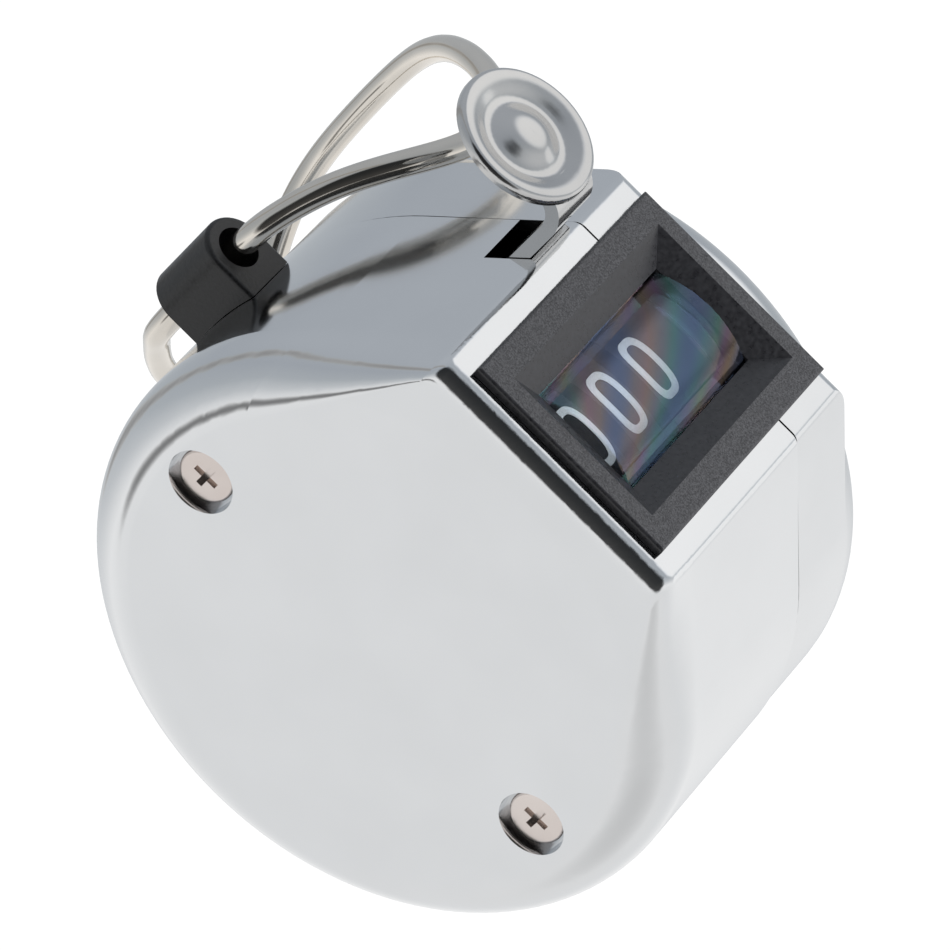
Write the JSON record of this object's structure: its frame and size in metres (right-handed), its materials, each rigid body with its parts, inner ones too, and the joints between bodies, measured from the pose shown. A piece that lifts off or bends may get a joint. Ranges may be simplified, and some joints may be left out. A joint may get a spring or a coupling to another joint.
{
  "type": "hand tally counter",
  "caption": "Drum-shaped chrome hand counter with a bulged digit window, a thumb lever with a dished disc, a reset knob and a wire finger ring.",
  "frame": {"origin": "centre of the left cover's flat outer face", "axes": "+Z along the drum's axis to the right cover and its reset knob; -Y out of the digit window; -X where the tops of the digits point and where the finger ring is held"},
  "size_m": [0.05, 0.0512, 0.0403],
  "materials": {
    "chrome_shell": "polished",
    "far_shell": "polished",
    "dark_plastic": "fine grain",
    "clear_lens": "clear",
    "wheel_black": "matt",
    "gear_white": "moulded",
    "plate_steel": "stamped",
    "pin_steel": "turned",
    "spring_steel": "drawn",
    "brass_part": "stamped",
    "satin_nickel": "satin",
    "screw_nickel": "plated",
    "ring_nickel": "bright",
    "holder_black": "moulded"
  },
  "bodies": {
    "case": {"left_case_shell": "chrome_shell", "right_case_shell": "far_shell", "window_bezel": "dark_plastic", "window_lens": "clear_lens", "left_frame_plate": "plate_steel", "right_frame_plate": "plate_steel", "frame_posts": "pin_steel", "pinion_shaft": "pin_steel", "pinion_spacers": "gear_white", "left_cover_screws": "screw_nickel", "right_cover_screws": "screw_nickel", "lever_pivot_pin": "pin_steel", "lever_spring": "spring_steel", "detent_spring": "spring_steel", "ring_holder": "holder_black", "holder_clip": "spring_steel"},
    "lever": {"thumb_lever": "satin_nickel", "pawl_pin": "pin_steel", "pawl_spring": "spring_steel"},
    "pawl": {"drive_pawl": "brass_part"},
    "units": {"units_wheel": "wheel_black", "ratchet_wheel": "brass_part"},
    "tens": {"tens_wheel": "wheel_black"},
    "hundreds": {"hundreds_wheel": "wheel_black"},
    "thousands": {"thousands_wheel": "wheel_black"},
    "pinion_one": {"transfer_pinion_1": "gear_white"},
    "pinion_two": {"transfer_pinion_2": "gear_white"},
    "pinion_three": {"transfer_pinion_3": "gear_white"},
    "knob": {"reset_knob": "satin_nickel", "wheel_shaft": "pin_steel", "knob_screw": "screw_nickel", "shaft_clip": "spring_steel"},
    "ring": {"finger_ring": "ring_nickel"}
  },
  "joints": [
    {"name": "lever_press", "type": "hinge", "parent": "case", "child": "lever", "pos_m": [0.009, -0.015, 0.0248], "axis": [0, 0, -1], "range_deg": [0, 7], "stiffness_Nm_per_rad": 0.06, "springref_deg": -20.05},
    {"name": "pawl_swing", "type": "hinge", "parent": "lever", "child": "pawl", "pos_m": [-0.0075, -0.0115, 0.0217], "axis": [0, 0, -1], "range_deg": [-20, 0]},
    {"name": "units_spin", "type": "hinge", "parent": "case", "child": "units", "pos_m": [0, -0.0065, 0.0189], "axis": [0, 0, -1], "continuous": true},
    {"name": "tens_spin", "type": "hinge", "parent": "case", "child": "tens", "pos_m": [0, -0.0065, 0.01435], "axis": [0, 0, -1], "continuous": true},
    {"name": "hundreds_spin", "type": "hinge", "parent": "case", "child": "hundreds", "pos_m": [0, -0.0065, 0.0098], "axis": [0, 0, -1], "continuous": true},
    {"name": "thousands_spin", "type": "hinge", "parent": "case", "child": "thousands", "pos_m": [0, -0.0065, 0.00525], "axis": [0, 0, -1], "continuous": true},
    {"name": "pinion_one_spin", "type": "hinge", "parent": "case", "child": "pinion_one", "pos_m": [0, 0.0082, 0.01663], "axis": [0, 0, -1], "continuous": true},
    {"name": "pinion_two_spin", "type": "hinge", "parent": "case", "child": "pinion_two", "pos_m": [0, 0.0082, 0.01208], "axis": [0, 0, -1], "continuous": true},
    {"name": "pinion_three_spin", "type": "hinge", "parent": "case", "child": "pinion_three", "pos_m": [0, 0.0082, 0.00752], "axis": [0, 0, -1], "continuous": true},
    {"name": "knob_turn", "type": "hinge", "parent": "case", "child": "knob", "pos_m": [0, -0.0065, 0.033], "axis": [0, 0, 1], "continuous": true},
    {"name": "ring_swing", "type": "hinge", "parent": "case", "child": "ring", "pos_m": [-0.025, 0, 0.0138], "axis": [0, -1, 0], "range_deg": [0, 170]}
  ],
  "couplings": [
    {"joint": "pawl_swing", "follows": "lever_press", "ratio": -1.88},
    {"joint": "tens_spin", "follows": "units_spin", "ratio": 0.1},
    {"joint": "hundreds_spin", "follows": "units_spin", "ratio": 0.01},
    {"joint": "thousands_spin", "follows": "units_spin", "ratio": 0.001},
    {"joint": "pinion_one_spin", "follows": "units_spin", "ratio": -0.25},
    {"joint": "pinion_two_spin", "follows": "units_spin", "ratio": -0.025},
    {"joint": "pinion_three_spin", "follows": "units_spin", "ratio": -0.0025}
  ]
}
